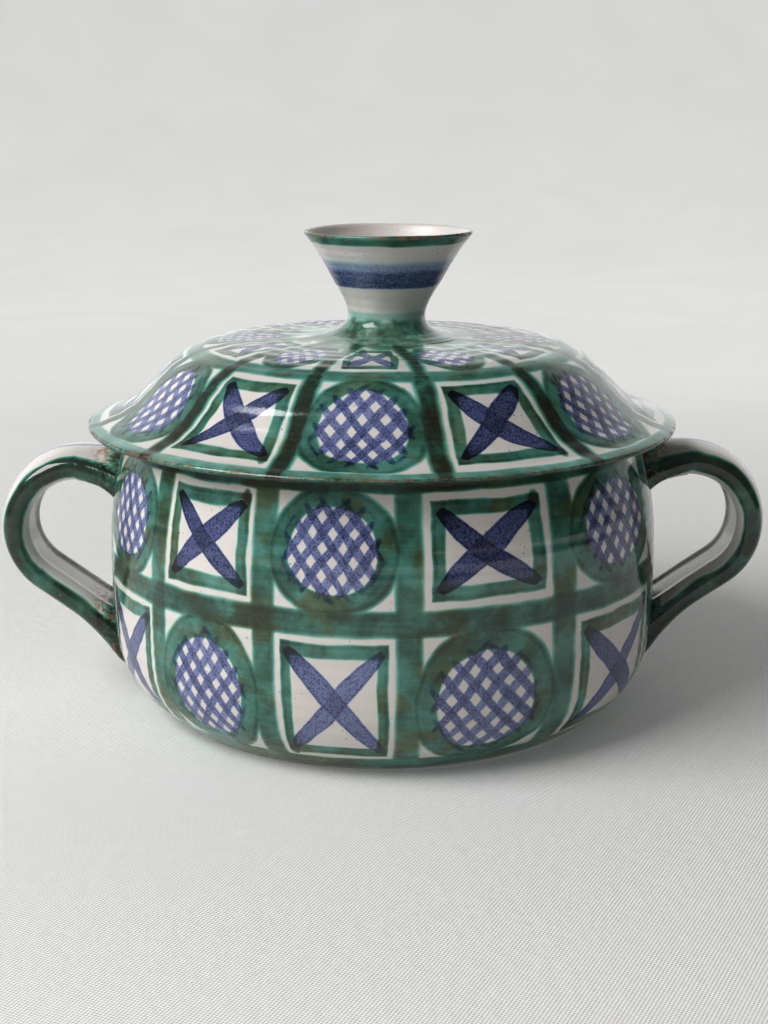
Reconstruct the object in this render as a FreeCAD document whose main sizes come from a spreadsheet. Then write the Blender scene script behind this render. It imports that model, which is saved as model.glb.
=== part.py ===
"""Lidded two-handled earthenware pot, as a parametric FreeCAD document.

The pot is built the way a potter builds it: a thrown bowl, two pulled strap handles joined to its
wall, a thrown lid with a locating ring under it, and a funnel-shaped knob on top of the lid.

Frame: millimetres, +Z up. The origin is the centre of the flat base. The handles lie along X and
the front faces -Y.
"""
import FreeCAD, Part
import math
import os

import Sketcher

FULL_TURN = 360
HALF_TURN = 180
MM3_PER_CM3 = 1000
SAME_HEIGHT = 0.001  # edges closer in height than this lie at one level

# how a sketch numbers its own origin and vertical axis, and the points of an edge
ORIGIN_POINT = (-1, 1)
VERTICAL_AXIS = -2
START, END, CENTRE = 1, 2, 3

DRIVING_SIZES = [
    # thrown bowl
    ("base_radius", 99),
    ("heel_radius", 45),
    ("heel_top_radius", 122.6),
    ("heel_top_height", 31),
    ("wall_curve", 320),
    ("rim_radius", 115.2),
    ("seat_height", 127.5),
    ("wall", 6.5),
    ("floor", 8),
    ("rim_rounding", 1.5),
    # pulled strap handles
    ("strap_width", 38),
    ("strap_thickness", 14),
    ("strap_top_height", 109.5),
    ("loop_centre_reach", 137.5),
    ("loop_radius", 28.5),
    ("lower_run_slope", 35),
    ("strap_root_depth", 10),
    ("right_handle_rise", 3),
    # lid
    ("lid_radius", 131),
    ("lid_edge_height", 3.5),
    ("lid_edge_rounding", 1.4),
    ("flare_radius", 107.5),
    ("flare_height", 15.1),
    ("flare_curve", 32),
    ("shoulder_radius", 78),
    ("shoulder_height", 36.9),
    ("shoulder_curve", 40),
    ("crown_height", 41),
    ("crown_curve", 198),
    ("lid_thickness", 6.5),
    ("lid_hollow_curve", 34),
    # locating ring under the lid
    ("ring_outer_radius", 106.5),
    ("ring_width", 5.5),
    ("ring_depth", 13),
    # funnel knob
    ("knob_foot_radius", 20.5),
    ("knob_foot_curve", 10),
    ("knob_waist_radius", 17),
    ("knob_waist_height", 5.5),
    ("knob_rim_radius", 37.5),
    ("knob_height", 45.2),
    ("knob_flare_curve", 150),
    ("knob_wall", 3.8),
    ("knob_funnel_floor", 8),
]


class Size:
    """A length together with the sheet formula that it comes from."""

    def __init__(self, value, formula):
        self.value = float(value)
        self.formula = formula

    @staticmethod
    def of(number):
        return number if isinstance(number, Size) else Size(number, repr(number))

    def __add__(self, other):
        other = Size.of(other)
        return Size(self.value + other.value, f"({self.formula} + {other.formula})")

    def __sub__(self, other):
        other = Size.of(other)
        return Size(self.value - other.value, f"({self.formula} - {other.formula})")

    def __truediv__(self, number):
        return Size(self.value / number, f"({self.formula} / {number})")


class Dimensions:
    """The driving sizes: dims.wall is the cell "wall" of the sheet."""

    def __init__(self, doc):
        sheet = doc.addObject("Spreadsheet::Sheet", "dims")
        for row, (name, value) in enumerate(DRIVING_SIZES, start=1):
            sheet.set(f"A{row}", name)
            sheet.set(f"B{row}", str(value))
            sheet.setAlias(f"B{row}", name)
            setattr(self, name, Size(value, f"dims.{name}"))
        doc.recompute()


def new_body(doc, label):
    body = doc.addObject("PartDesign::Body", label)
    body.Label = label
    return body


def new_sketch(body, name, plane_role, offset=None):
    """A sketch on one of the body's own origin planes, moved along its normal by offset."""
    sketch = body.newObject("Sketcher::SketchObject", name)
    planes = [feature for feature in body.Origin.OriginFeatures if feature.Role == plane_role]
    sketch.AttachmentSupport = (planes[0], "")
    sketch.MapMode = "FlatFace"
    if offset is not None:
        sketch.setExpression("AttachmentOffset.Base.z", offset.formula)
    return sketch


def circle_arc(centre, start, end):
    """The anticlockwise arc about a centre from one point to another, all (across, up) pairs."""
    radius = math.dist(centre, start)
    angles = [math.atan2(y - centre[1], x - centre[0]) for x, y in (start, end)]
    circle = Part.Circle(FreeCAD.Vector(*centre, 0), FreeCAD.Vector(0, 0, 1), radius)
    return Part.ArcOfCircle(circle, *angles)


def arc_between(start, end, radius, side):
    """The short arc of that radius from start to end, and which of its ends is the start. It bulges
    to the left of the way from start to end (side 1) or to the right (side -1)."""
    (ax, ay), (bx, by) = start, end
    chord = math.dist(start, end)
    height = math.sqrt(radius ** 2 - (chord / 2) ** 2)
    left = (-(by - ay) / chord, (bx - ax) / chord)
    centre = ((ax + bx) / 2 - side * height * left[0], (ay + by) / 2 - side * height * left[1])
    if side > 0:
        return circle_arc(centre, end, start), END, START
    return circle_arc(centre, start, end), START, END


def bind(sketch, constraint, size, name):
    """Add a dimensional constraint and tie its value to the sheet."""
    index = sketch.addConstraint(constraint)
    sketch.renameConstraint(index, name)
    sketch.setExpression(f"Constraints.{name}", size.formula)


def place_point(sketch, geometry, position, corner, name):
    """Tie one end of an edge to a corner given as two sizes, or put it on the vertical axis."""
    across, up = corner
    if across.value == 0:
        sketch.addConstraint(Sketcher.Constraint("PointOnObject", geometry, position, VERTICAL_AXIS))
    else:
        bind(sketch, Sketcher.Constraint("DistanceX", *ORIGIN_POINT, geometry, position, across.value),
             across, f"{name}_across")
    bind(sketch, Sketcher.Constraint("DistanceY", *ORIGIN_POINT, geometry, position, up.value),
         up, f"{name}_up")


def draw_outline(sketch, corners):
    """Draw a closed outline through the corners. A corner is (across, up, curve): curve is None for
    a straight edge to the next corner, or (radius, side) for an arc."""
    previous = None
    for number, (across, up, curve) in enumerate(corners):
        following = corners[(number + 1) % len(corners)]
        start = (across.value, up.value)
        end = (following[0].value, following[1].value)
        if curve is None:
            edge = Part.LineSegment(FreeCAD.Vector(*start, 0), FreeCAD.Vector(*end, 0))
            near_end, far_end = START, END
        else:
            radius, side = curve
            edge, near_end, far_end = arc_between(start, end, radius.value, side)
        index = sketch.addGeometry(edge, False)
        place_point(sketch, index, near_end, (across, up), f"corner{number}")
        if previous:
            sketch.addConstraint(Sketcher.Constraint("Coincident", *previous, index, near_end))
        if curve:
            bind(sketch, Sketcher.Constraint("Radius", index, radius.value), radius, f"curve{number}")
        previous = (index, far_end)
    sketch.addConstraint(Sketcher.Constraint("Coincident", *previous, 0, START))


def revolve(body, sketch, name, kind="PartDesign::Revolution"):
    feature = body.newObject(kind, name)
    feature.Profile = sketch
    feature.ReferenceAxis = (sketch, ["V_Axis"])
    feature.Angle = FULL_TURN
    return feature


def wall_outline(dims):
    """The bowl's outside from the base to the rim, as corners of a half section."""
    return [
        (dims.base_radius, Size.of(0), (dims.heel_radius, -1)),
        (dims.heel_top_radius, dims.heel_top_height, (dims.wall_curve, -1)),
        (dims.rim_radius, dims.seat_height, None),
    ]


def make_bowl(doc, dims):
    """The thrown bowl: flat base, rounded heel, a wall that leans in to the rim."""
    body = new_body(doc, "pot_bowl")
    zero = Size.of(0)
    section = new_sketch(body, "bowl_section", "XZ_Plane")
    draw_outline(section, [(zero, zero, None)] + wall_outline(dims) + [
        (dims.rim_radius - dims.wall, dims.seat_height, (dims.wall_curve - dims.wall, 1)),
        (dims.heel_top_radius - dims.wall, dims.heel_top_height, (dims.heel_radius - dims.wall / 2, 1)),
        (dims.base_radius - dims.wall / 2, dims.floor, None),
        (zero, dims.floor, None),
    ])
    revolve(body, section, "thrown_bowl")
    doc.recompute()
    round_edges(doc, body, "rounded_rim", dims.rim_rounding, dims.seat_height.value)
    return body


def round_edges(doc, body, name, rounding, height, min_radius=0.0):
    """Round the body's circular edges that lie at one height."""
    base = body.Tip
    chosen = []
    for number, edge in enumerate(base.Shape.Edges, start=1):
        if not isinstance(edge.Curve, Part.Circle):
            continue
        if abs(edge.Curve.Center.z - height) < SAME_HEIGHT and edge.Curve.Radius > min_radius:
            chosen.append(f"Edge{number}")
    fillet = body.newObject("PartDesign::Fillet", name)
    fillet.Base = (base, chosen)
    fillet.Radius = rounding.value
    fillet.setExpression("Radius", rounding.formula)
    doc.recompute()


def loop_end(dims, top):
    """Where the round part of the handle's loop ends, and the wall point that the lower run meets."""
    slope = math.radians(dims.lower_run_slope.value)
    centre_reach = dims.loop_centre_reach
    centre_up = top - dims.loop_radius
    angle = "dims.lower_run_slope * 1deg"
    radius = dims.loop_radius
    end_reach = Size(centre_reach.value + radius.value * math.sin(slope),
                     f"({centre_reach.formula} + {radius.formula} * sin({angle}))")
    end_up = Size(centre_up.value - radius.value * math.cos(slope),
                  f"({centre_up.formula} - {radius.formula} * cos({angle}))")
    root_reach = dims.heel_top_radius - dims.strap_root_depth
    run = end_reach - root_reach
    root_up = Size(end_up.value - run.value * math.tan(slope),
                   f"({end_up.formula} - {run.formula} * tan({angle}))")
    return (end_reach, end_up), (root_reach, root_up)


def draw_stadium(sketch, centre_up, width, thickness):
    """A flat strap's section: straight top and underside, half-round edges."""
    half_flat = (width.value - thickness.value) / 2
    low = centre_up.value - thickness.value / 2
    high = centre_up.value + thickness.value / 2
    low_left, low_right = (-half_flat, low), (half_flat, low)
    high_right, high_left = (half_flat, high), (-half_flat, high)
    edges = [
        Part.LineSegment(FreeCAD.Vector(*low_left, 0), FreeCAD.Vector(*low_right, 0)),
        circle_arc((half_flat, centre_up.value), low_right, high_right),
        Part.LineSegment(FreeCAD.Vector(*high_right, 0), FreeCAD.Vector(*high_left, 0)),
        circle_arc((-half_flat, centre_up.value), high_left, low_left),
    ]
    for edge in edges:
        sketch.addGeometry(edge, False)
    for number in range(4):
        following = (number + 1) % 4
        sketch.addConstraint(Sketcher.Constraint("Tangent", number, END, following, START))
    sketch.addConstraint(Sketcher.Constraint("Horizontal", 0))
    sketch.addConstraint(Sketcher.Constraint("Symmetric", 1, CENTRE, 3, CENTRE, VERTICAL_AXIS))
    bind(sketch, Sketcher.Constraint("Radius", 1, thickness.value / 2), thickness / 2, "edge_radius")
    bind(sketch, Sketcher.Constraint("DistanceX", 3, CENTRE, 1, CENTRE, 2 * half_flat),
         width - thickness, "flat_width")
    bind(sketch, Sketcher.Constraint("DistanceY", *ORIGIN_POINT, 1, CENTRE, centre_up.value),
         centre_up, "strap_up")


def make_handle(doc, dims, label, top, turn):
    """One pulled strap: out from the wall, round the loop and down to the lower root, cut to the
    wall's own outside. The turn about Z puts it on its side of the bowl."""
    body = new_body(doc, label)
    loop, lower_root = loop_end(dims, top)
    upper_root = dims.rim_radius - dims.strap_root_depth

    section = new_sketch(body, f"{label}_section", "YZ_Plane", offset=upper_root)
    draw_stadium(section, top, dims.strap_width, dims.strap_thickness)

    route = new_sketch(body, f"{label}_route", "XZ_Plane")
    draw_route(route, dims, top, upper_root, loop, lower_root)

    strap = body.newObject("PartDesign::AdditivePipe", f"{label}_strap")
    strap.Profile = section
    strap.Spine = (route, ["Edge1", "Edge2", "Edge3"])
    strap.Transition = "Right corner"
    strap.Mode = "Standard"
    doc.recompute()

    zero = Size.of(0)
    wall = new_sketch(body, f"{label}_wall", "XZ_Plane")
    draw_outline(wall, [(zero, zero, None)] + wall_outline(dims) + [(zero, dims.seat_height, None)])
    revolve(body, wall, f"{label}_trim", kind="PartDesign::Groove")
    doc.recompute()
    body.Placement = FreeCAD.Placement(FreeCAD.Vector(0, 0, 0), FreeCAD.Rotation(turn, 0, 0))
    return body


def draw_route(sketch, dims, top, upper_root, loop, lower_root):
    """The strap's centre line: a level run, the round loop, and a sloping run back to the wall."""
    centre = (dims.loop_centre_reach.value, top.value - dims.loop_radius.value)
    root_start = FreeCAD.Vector(upper_root.value, top.value, 0)
    loop_top = (centre[0], top.value)
    loop_low = (loop[0].value, loop[1].value)
    low_end = FreeCAD.Vector(lower_root[0].value, lower_root[1].value, 0)
    sketch.addGeometry(Part.LineSegment(root_start, FreeCAD.Vector(*loop_top, 0)), False)
    sketch.addGeometry(circle_arc(centre, loop_low, loop_top), False)
    sketch.addGeometry(Part.LineSegment(FreeCAD.Vector(*loop_low, 0), low_end), False)
    sketch.addConstraint(Sketcher.Constraint("Tangent", 0, END, 1, END))
    sketch.addConstraint(Sketcher.Constraint("Tangent", 1, START, 2, START))
    place_point(sketch, 0, START, (upper_root, top), "upper_root")
    place_point(sketch, 1, CENTRE, (dims.loop_centre_reach, top - dims.loop_radius), "loop_centre")
    bind(sketch, Sketcher.Constraint("Radius", 1, dims.loop_radius.value),
         dims.loop_radius, "loop_curve")
    place_point(sketch, 2, END, lower_root, "lower_root")


def make_lid(doc, dims):
    """The thrown lid: a thin flange that overhangs the rim, a flaring edge, a steep shoulder and a
    nearly flat crown, hollow underneath."""
    body = new_body(doc, "lid_dome")
    zero = Size.of(0)
    seat = dims.seat_height
    crown = seat + dims.crown_height
    ring_inside = dims.ring_outer_radius - dims.ring_width
    hollow_shoulder = dims.shoulder_radius - dims.lid_thickness / 2
    section = new_sketch(body, "lid_section", "XZ_Plane")
    draw_outline(section, [
        (ring_inside, seat, None),
        (dims.lid_radius, seat, None),
        (dims.lid_radius, seat + dims.lid_edge_height, (dims.flare_curve, 1)),
        (dims.flare_radius, seat + dims.flare_height, (dims.shoulder_curve, -1)),
        (dims.shoulder_radius, seat + dims.shoulder_height, (dims.crown_curve, -1)),
        (dims.knob_foot_radius, crown, None),
        (zero, crown, None),
        (zero, crown - dims.lid_thickness, None),
        (hollow_shoulder, seat + dims.shoulder_height - dims.lid_thickness, (dims.lid_hollow_curve, 1)),
        (ring_inside, seat + dims.lid_thickness, None),
    ])
    revolve(body, section, "thrown_lid")
    doc.recompute()
    round_edges(doc, body, "rounded_edge", dims.lid_edge_rounding, seat.value,
                min_radius=dims.ring_outer_radius.value)
    return body


def make_ring(doc, dims):
    """The plain ring under the lid that drops into the bowl's mouth and keeps the lid centred."""
    ring = new_body(doc, "lid_locating_ring")
    outside = dims.ring_outer_radius
    inside = dims.ring_outer_radius - dims.ring_width
    low = dims.seat_height - dims.ring_depth
    section = new_sketch(ring, "ring_section", "XZ_Plane")
    draw_outline(section, [
        (inside, low, None),
        (outside, low, None),
        (outside, dims.seat_height, None),
        (inside, dims.seat_height, None),
    ])
    revolve(ring, section, "thrown_ring")
    doc.recompute()
    round_edges(doc, ring, "rounded_foot", dims.rim_rounding, low.value)
    return ring


def make_knob(doc, dims):
    """The knob: a foot on the crown, a waist, and a hollow funnel that opens upwards."""
    body = new_body(doc, "lid_knob")
    zero = Size.of(0)
    foot = dims.seat_height + dims.crown_height
    waist = foot + dims.knob_waist_height
    rim = foot + dims.knob_height
    funnel_floor = foot + dims.knob_funnel_floor
    wall = dims.knob_wall
    section = new_sketch(body, "knob_section", "XZ_Plane")
    draw_outline(section, [
        (zero, foot, None),
        (dims.knob_foot_radius, foot, (dims.knob_foot_curve, 1)),
        (dims.knob_waist_radius, waist, (dims.knob_flare_curve, 1)),
        (dims.knob_rim_radius, rim, None),
        (dims.knob_rim_radius - wall, rim, (dims.knob_flare_curve + wall, -1)),
        (dims.knob_waist_radius - wall, funnel_floor + wall, None),
        (dims.knob_waist_radius - wall - wall, funnel_floor, None),
        (zero, funnel_floor, None),
    ])
    revolve(body, section, "thrown_knob")
    doc.recompute()
    round_edges(doc, body, "rounded_lip", dims.rim_rounding, rim.value)
    return body


def check_document(doc, bodies):
    """Stop before anything is written if a feature failed or a shape isn't a single good solid."""
    for thing in doc.Objects:
        if {"Invalid", "Error"} & set(thing.State):
            raise RuntimeError(f"{thing.Label} failed: {thing.State}")
    for body in bodies:
        shape = body.Shape
        if shape.isNull() or not shape.isValid() or len(shape.Solids) != 1:
            raise RuntimeError(f"{body.Label} is not one valid solid")


def build():
    doc = FreeCAD.newDocument("lidded_pot")
    dims = Dimensions(doc)
    top = dims.strap_top_height
    bodies = [
        make_bowl(doc, dims),
        make_handle(doc, dims, "left_handle", top, turn=HALF_TURN),
        make_handle(doc, dims, "right_handle", top + dims.right_handle_rise, turn=0),
        make_lid(doc, dims),
        make_ring(doc, dims),
        make_knob(doc, dims),
    ]
    doc.recompute()
    check_document(doc, bodies)
    os.makedirs("parts", exist_ok=True)
    for body in bodies:
        box = body.Shape.optimalBoundingBox(False, False)
        print(f"{body.Label}: {body.Shape.Volume / MM3_PER_CM3:.1f} cm3, "
              f"X {box.XMin:.1f} to {box.XMax:.1f}, Y {box.YMin:.1f} to {box.YMax:.1f}, "
              f"Z {box.ZMin:.1f} to {box.ZMax:.1f}")
        body.Shape.exportStep(f"parts/{body.Label}.step")


build()
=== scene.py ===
"""The looks of a hand-painted, tin-glazed earthenware pot with two strap handles and a lid.

Six clay pieces stand for the CAD nodes: bowl, two handles, lid, its locating ring, and knob.
Lengths are in millimetres inside the outlines and in the materials, and in metres in the meshes.
Azimuths run from the front (-Y), positive towards +X.
"""
import math
from collections import namedtuple

import bpy
import numpy as np
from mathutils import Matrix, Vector


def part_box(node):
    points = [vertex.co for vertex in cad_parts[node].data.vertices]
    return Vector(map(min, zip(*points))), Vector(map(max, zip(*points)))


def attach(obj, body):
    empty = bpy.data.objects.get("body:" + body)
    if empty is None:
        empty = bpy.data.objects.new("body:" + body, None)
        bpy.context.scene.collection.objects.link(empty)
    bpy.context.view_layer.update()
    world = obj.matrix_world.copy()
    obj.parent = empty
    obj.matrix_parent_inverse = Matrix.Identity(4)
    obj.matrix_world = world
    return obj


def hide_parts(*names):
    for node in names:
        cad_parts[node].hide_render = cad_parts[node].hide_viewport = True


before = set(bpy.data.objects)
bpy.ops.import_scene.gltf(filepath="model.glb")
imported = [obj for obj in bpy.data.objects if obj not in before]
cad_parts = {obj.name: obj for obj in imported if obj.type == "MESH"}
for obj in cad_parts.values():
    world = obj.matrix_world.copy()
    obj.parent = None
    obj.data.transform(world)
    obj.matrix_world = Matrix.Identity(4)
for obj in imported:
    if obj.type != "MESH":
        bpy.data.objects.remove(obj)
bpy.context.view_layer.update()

MM = 0.001


def node_box(node):
    """A CAD node's lowest and highest corners in millimetres."""
    low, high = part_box(node)
    return low / MM, high / MM


LID_LOW, LID_HIGH = node_box("lid_dome")
KNOB_LOW, KNOB_HIGH = node_box("lid_knob")
SEAT = LID_LOW.z
LID_RADIUS = LID_HIGH.y
RING_BOTTOM = node_box("lid_locating_ring")[0].z
CROWN = KNOB_LOW.z
KNOB_TOP = KNOB_HIGH.z
FOOT_RADIUS = 99
RADIUS, HEIGHT = 0, 1

# ---- Outlines ----


def curve_through(points, spacing=1.0):
    """Points evenly spaced along a smooth curve through the given (radius, height) points."""
    points = np.array(points, float)
    ends = [2 * points[0] - points[1], *points, 2 * points[-1] - points[-2]]
    dense = [points[0]]
    for before, start, end, after in zip(ends, ends[1:], ends[2:], ends[3:]):
        steps = max(2, int(np.linalg.norm(end - start) / 0.25))
        for t in np.linspace(0, 1, steps + 1)[1:]:
            dense.append(0.5 * (2 * start + (end - before) * t
                                + (2 * before - 5 * start + 4 * end - after) * t ** 2
                                + (3 * start - before - 3 * end + after) * t ** 3))
    dense = np.array(dense)
    runs = np.concatenate([[0], np.cumsum(np.linalg.norm(np.diff(dense, axis=0), axis=1))])
    count = max(2, int(round(runs[-1] / spacing)) + 1)
    even = np.linspace(0, runs[-1], count)
    return np.stack([np.interp(even, runs, dense[:, axis]) for axis in (RADIUS, HEIGHT)], 1)


def outline(*stretches, spacing=1.0):
    """One outline from smooth stretches that meet at corners: an array of (radius, height)."""
    parts = []
    for stretch in stretches:
        part = curve_through(stretch, spacing)
        parts.append(part if not parts else part[1:])
    return np.concatenate(parts)


def run_along(profile):
    """The distance travelled along an outline at each of its points."""
    return np.concatenate([[0], np.cumsum(np.linalg.norm(np.diff(profile, axis=0), axis=1))])


def run_where(profile, axis, value, last=False):
    """The distance along the outline where its RADIUS or HEIGHT reaches a value."""
    runs = run_along(profile)
    crossings = np.nonzero(np.diff(np.sign(profile[:, axis] - value)))[0]
    index = crossings[-1 if last else 0]
    a, b = profile[index, axis], profile[index + 1, axis]
    share = (value - a) / (b - a)
    return float(runs[index] + share * (runs[index + 1] - runs[index]))


BOWL_BASE = [(0, 1.2), (60, 1.2), (86, 1.0)]
BOWL_STANDING_RING = [(86, 1.0), (89, 0), (96, 0)]
BOWL_HEEL = [(96, 0), (98, 0.1), (FOOT_RADIUS, 0.6)]
BOWL_WALL = [(FOOT_RADIUS, 0.6), (103.6, 3.6), (109, 8.4), (114.4, 14), (118.9, 20.8), (121.8, 28.5),
             (123.1, 38), (123.6, 51), (123.6, 66), (123.2, 81), (121.9, 96), (118.9, 111),
             (116.3, 121.5), (115.2, 125.6)]
BOWL_RIM = [(115.2, 125.6), (114.2, 127.1), (111.8, 127.4), (109.8, 126.8), (109.0, 125.2)]
BOWL_INSIDE = [(109.0, 125.2), (112.6, 111), (115.6, 95), (117.1, 75), (117.2, 52), (116.0, 34),
               (111, 20), (102, 11.5), (90, 8.3), (72, 7.6), (50, 8.2), (26, 7.7), (0, 8)]
BOWL_OUTLINE = outline(BOWL_BASE, BOWL_STANDING_RING, BOWL_HEEL, BOWL_WALL, BOWL_RIM, BOWL_INSIDE,
                       spacing=1.1)

LID_TOP = [(0, CROWN - 0.5), (14, CROWN - 0.3), (22, CROWN - 0.4), (36, 166.7), (52, 166.2),
           (66, 165.8), (80, 163.2), (90, 158.7), (97, 153.2), (104, 145.8), (111, 139.2),
           (118, 135.1), (125, 132.4), (129, 131.3)]
LID_EDGE = [(129, 131.3), (130.6, 130.7), (131, 129.9), (130.4, 129.0), (128, 128.2), (122, SEAT)]
LID_UNDER = [(122, SEAT), (108, SEAT)]
LID_SEAT = [(108, SEAT), (101, SEAT)]
LID_INSIDE = [(101, SEAT), (100.6, 134), (95, 143.6), (86, 153), (75, 158), (56, 160.4), (30, 161.6),
              (0, 162)]
LID_OUTLINE = outline(LID_TOP, LID_EDGE, LID_UNDER, LID_SEAT, LID_INSIDE, spacing=1.0)

KNOB_UNDER = [(0, 165.5), (16, 165.5), (31, 165.8)]
KNOB_FOOT = [(31, 165.8), (33, 166.2), (33, 166.7)]
KNOB_OUTSIDE = [(33, 166.7), (28.5, 167.7), (24.5, 168.7), (21, 170.4), (18.6, 172.6), (17.5, 175.4),
                (17.6, 178.2), (18.6, 181.5), (20.5, 185.5), (23.2, 190), (27.6, 198), (32.5, 206),
                (35.4, 210), (37.2, KNOB_TOP - 1.4)]
KNOB_LIP = [(37.2, KNOB_TOP - 1.4), (37.4, KNOB_TOP - 0.4), (36.4, KNOB_TOP), (35.2, KNOB_TOP - 0.6)]
KNOB_INSIDE = [(35.2, KNOB_TOP - 0.6), (33, 209), (28, 201), (21.5, 191), (16.5, 183.5), (12, 179),
               (6, 177), (0, 176.6)]
KNOB_OUTLINE = outline(KNOB_UNDER, KNOB_FOOT, KNOB_OUTSIDE, KNOB_LIP, KNOB_INSIDE, spacing=0.6)

RING_TOP = [(101.2, SEAT), (106.3, SEAT)]
RING_OUTSIDE = [(106.3, SEAT), (106.5, 124), (106.1, 119), (105.6, RING_BOTTOM + 1.2)]
RING_FOOT = [(105.6, RING_BOTTOM + 1.2), (104.6, RING_BOTTOM), (103, RING_BOTTOM)]
RING_INSIDE = [(103, RING_BOTTOM), (101.6, RING_BOTTOM + 1.2), (101.1, 121), (101.2, SEAT)]
RING_OUTLINE = outline(RING_TOP, RING_OUTSIDE, RING_FOOT, RING_INSIDE, spacing=1.0)


def runs_clockwise(profile):
    """Whether an outline goes clockwise round the clay, with the axis on the left."""
    radius, height = profile[:, RADIUS], profile[:, HEIGHT]
    return np.sum(radius * np.roll(height, -1) - np.roll(radius, -1) * height) < 0


def bowl_radius(height):
    """The bowl's outside radius at a height, in millimetres."""
    wall = np.array(BOWL_WALL)
    return float(np.interp(height, wall[:, 1], wall[:, 0]))


# ---- Meshes ----


def new_piece(name, vertices, faces, attributes):
    """A smooth-shaded mesh object from millimetre vertices, with one float attribute per name."""
    mesh = bpy.data.meshes.new(name)
    mesh.from_pydata((np.asarray(vertices) * MM).tolist(), [], faces)
    for title, values in attributes.items():
        layer = mesh.attributes.new(title, "FLOAT", "POINT")
        layer.data.foreach_set("value", np.asarray(values, np.float32))
    mesh.validate()
    mesh.update()
    mesh.polygons.foreach_set("use_smooth", [True] * len(mesh.polygons))
    piece = bpy.data.objects.new(name, mesh)
    bpy.context.scene.collection.objects.link(piece)
    return piece


def quads_between(rings, around, joined=False):
    """Four-sided faces between neighbouring rings of points, and joined ties the last to the first."""
    faces = []
    for ring in range(rings if joined else rings - 1):
        following = (ring + 1) % rings
        for step in range(around):
            beside = (step + 1) % around
            faces.append((ring * around + step, ring * around + beside,
                          following * around + beside, following * around + step))
    return faces


def thrown_waves(azimuth, run, pitch, ridge, wobble, phase):
    """How far a thrown wall stands off its outline: finger ridges that climb in a spiral, and a
    slow unevenness round the pot. Millimetres."""
    spiral = np.sin(2 * np.pi * run / pitch + azimuth + phase)
    uneven = np.sin(run / (2.7 * pitch) + 2.1 * phase) * np.sin(3 * azimuth + 1.3 * phase)
    ridges = ridge * spiral * (0.75 + 0.25 * uneven)
    slow = wobble * (0.6 * np.sin(2 * azimuth + phase) + 0.4 * np.sin(3 * azimuth + run / 60 + 2 * phase)
                     + 0.2 * np.sin(7 * azimuth - run / 23 + phase))
    return ridges + slow


def lathe(name, profile, turns, waves):
    """A closed surface of revolution. An outline that starts and ends on the axis gets a point at
    each end, and any other outline is closed on itself. waves(azimuth, run, radius) is how far the
    surface stands off the outline along its normal, in millimetres. The faces look out of the
    clay, whichever way the outline runs."""
    runs = run_along(profile)
    on_axis = profile[0, 0] < 1e-6
    rings = slice(1, -1) if on_axis else slice(0, -1)  # the ends are poles or the same point
    radius, height, run = profile[rings, 0], profile[rings, 1], runs[rings]
    along = np.gradient(profile, axis=0)[rings]
    lengths = np.linalg.norm(along, axis=1)
    normal = np.stack([along[:, 1], -along[:, 0]], 1) / lengths[:, None]
    azimuth = np.arange(turns) * 2 * np.pi / turns
    offset = waves(azimuth[None, :], run[:, None], radius[:, None])
    out = radius[:, None] + offset * normal[:, :1]
    up = height[:, None] + offset * normal[:, 1:]
    vertices = np.stack([out * np.sin(azimuth), -out * np.cos(azimuth), up], -1).reshape(-1, 3)
    values = np.repeat(run, turns)
    faces = quads_between(len(run), turns, joined=not on_axis)
    if on_axis:
        first_pole, last_pole = len(vertices), len(vertices) + 1
        top = (len(run) - 1) * turns
        poles = np.array([[0, 0, profile[0, 1]], [0, 0, profile[-1, 1]]])
        vertices = np.concatenate([vertices, poles])
        values = np.concatenate([values, [runs[0], runs[-1]]])
        for turn in range(turns):
            beside = (turn + 1) % turns
            faces.append((first_pole, beside, turn))
            faces.append((last_pole, top + turn, top + beside))
    if runs_clockwise(profile):
        faces = [(face[0], *face[:0:-1]) for face in faces]
    return new_piece(name, vertices, faces, {"run": values})


def smooth_share(value, low, high):
    """0 at low, 1 at high, easing in and out."""
    share = np.clip((value - low) / (high - low), 0, 1)
    return share * share * (3 - 2 * share)


BOWL_TURNS = 288
LID_TURNS = 288
RING_TURNS = 192
KNOB_TURNS = 160
KNOB_ASIDE = 1.7
KNOB_LEAN = 0.9


def make_bowl():
    """The bowl, with faint finger ridges outside and plainer ones inside."""
    rim_run = run_where(BOWL_OUTLINE, HEIGHT, 127.0)
    foot_run = run_where(BOWL_OUTLINE, RADIUS, FOOT_RADIUS)

    def waves(azimuth, run, radius):
        below_rim = 1 - smooth_share(run, rim_run - 12, rim_run - 2)
        wall = smooth_share(run, foot_run, foot_run + 25) * below_rim
        inside = smooth_share(run, rim_run + 6, rim_run + 20) * smooth_share(radius, 10, 60)
        outer = wall * thrown_waves(azimuth, run, 6.5, 0.10, 0.55, 0.7)
        inner = inside * thrown_waves(azimuth, run, 8.0, 0.30, 0.3, 2.0)
        return outer + inner

    piece = lathe("bowl", BOWL_OUTLINE, BOWL_TURNS, waves)
    piece.data.materials.append(bowl_material())
    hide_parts("pot_bowl")
    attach(piece, "pot")


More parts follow.
